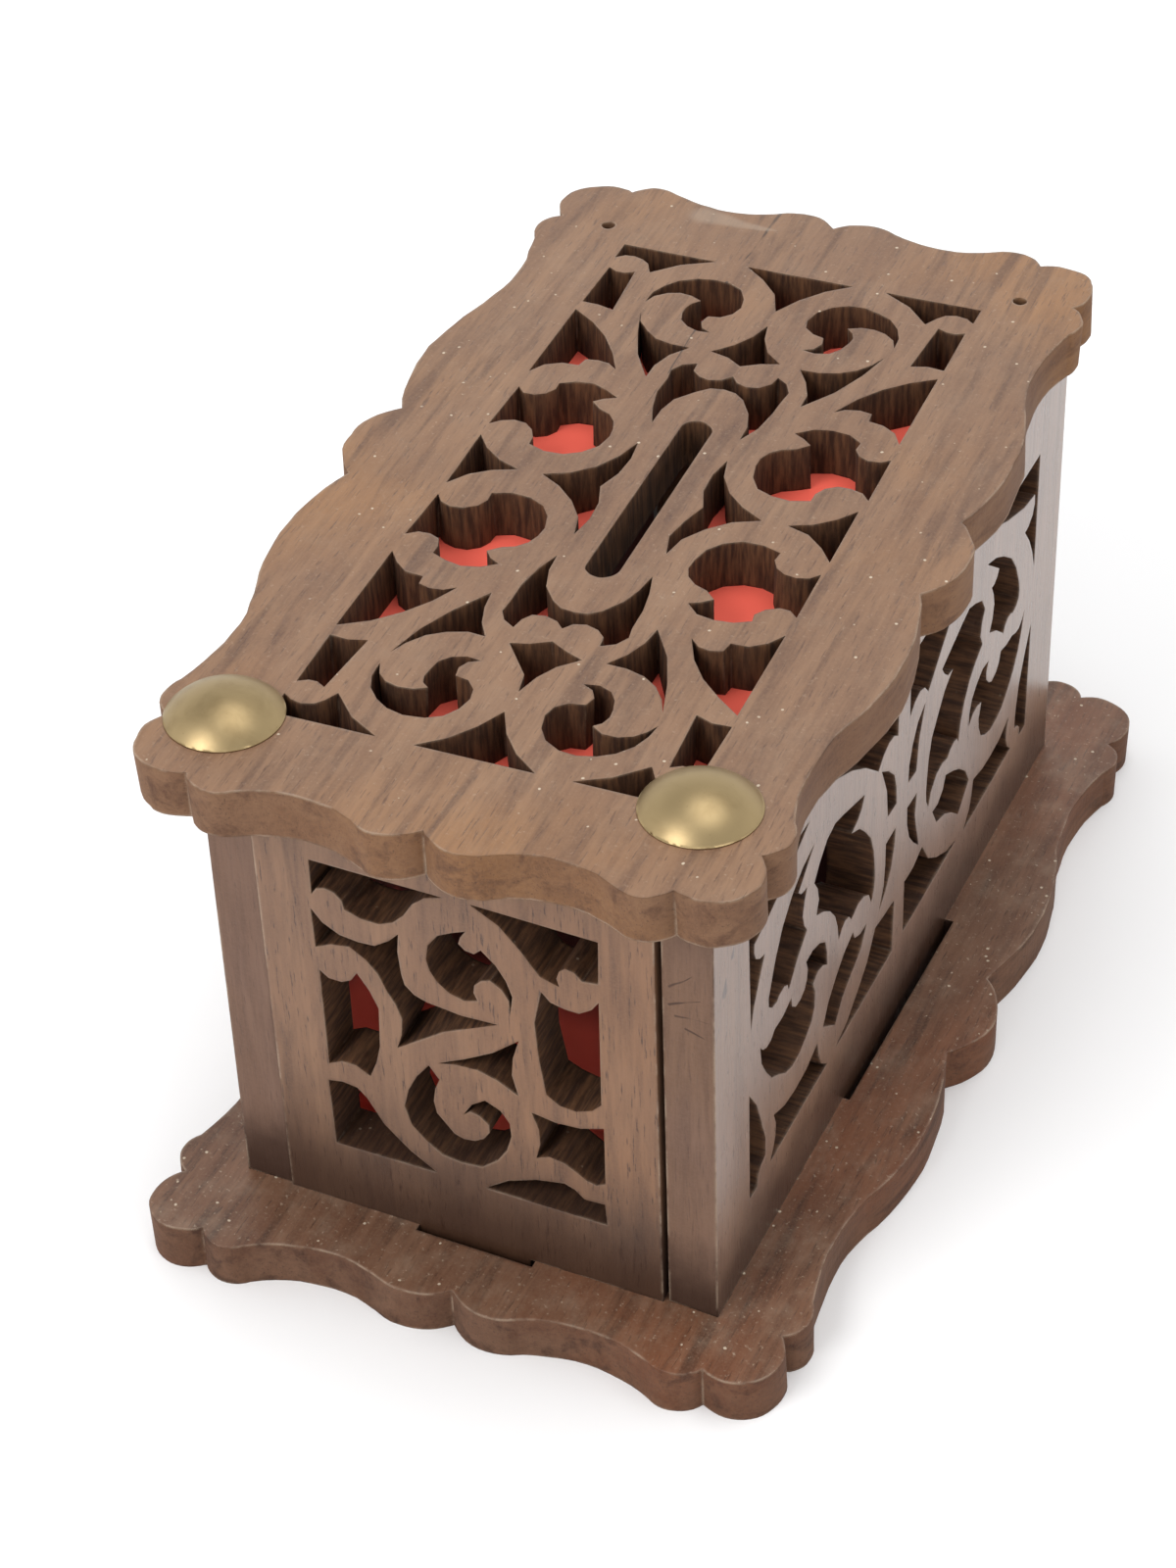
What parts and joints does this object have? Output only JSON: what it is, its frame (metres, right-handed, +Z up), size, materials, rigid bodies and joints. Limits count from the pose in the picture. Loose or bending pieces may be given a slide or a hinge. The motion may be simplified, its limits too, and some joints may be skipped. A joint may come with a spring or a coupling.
{
  "type": "wooden money box",
  "caption": "Fret-sawn hardwood money box: pierced scroll walls tenoned into a scalloped base, and a scalloped pierced lid with a coin slot, lined with red paper and held by brass dome nails.",
  "frame": {"origin": "on the base plate's underside, midway between the clefts of its two ends, on the surface that the box stands on", "axes": "+Z up through the lid; +Y along the box, from the end with the dome nails to the other end; +X to the right as that end is faced"},
  "size_m": [0.0968, 0.1602, 0.09],
  "materials": {
    "base_wood": "dark brown hardwood, dusty, sawn edges",
    "wall_wood": "dark brown hardwood, satin, upright grain",
    "lid_wood": "dark brown hardwood, satin, worn edges",
    "red_paper": "matt coral red paper",
    "nail_brass": "antiqued brass, softly polished",
    "nail_steel": "plain drawn steel"
  },
  "bodies": {
    "box": {"base_plate": "base_wood", "left_side": "wall_wood", "right_side": "wall_wood", "front_end": "wall_wood", "rear_end": "wall_wood", "left_lining": "red_paper", "floor_lining": "red_paper"},
    "lid": {"lid_plate": "lid_wood", "lid_lining": "red_paper"},
    "left_nail": {"left_nail_cap": "nail_brass", "left_nail_pin": "nail_steel"},
    "right_nail": {"right_nail_cap": "nail_brass", "right_nail_pin": "nail_steel"}
  },
  "joints": [
    {"name": "lid_lift", "type": "slide", "parent": "box", "child": "lid", "axis": [0, 0, 1], "range_m": [0, 0.04]},
    {"name": "left_nail_pull", "type": "slide", "parent": "lid", "child": "left_nail", "axis": [0, 0, 1], "range_m": [0, 0.03]},
    {"name": "right_nail_pull", "type": "slide", "parent": "lid", "child": "right_nail", "axis": [0, 0, 1], "range_m": [0, 0.03]}
  ]
}
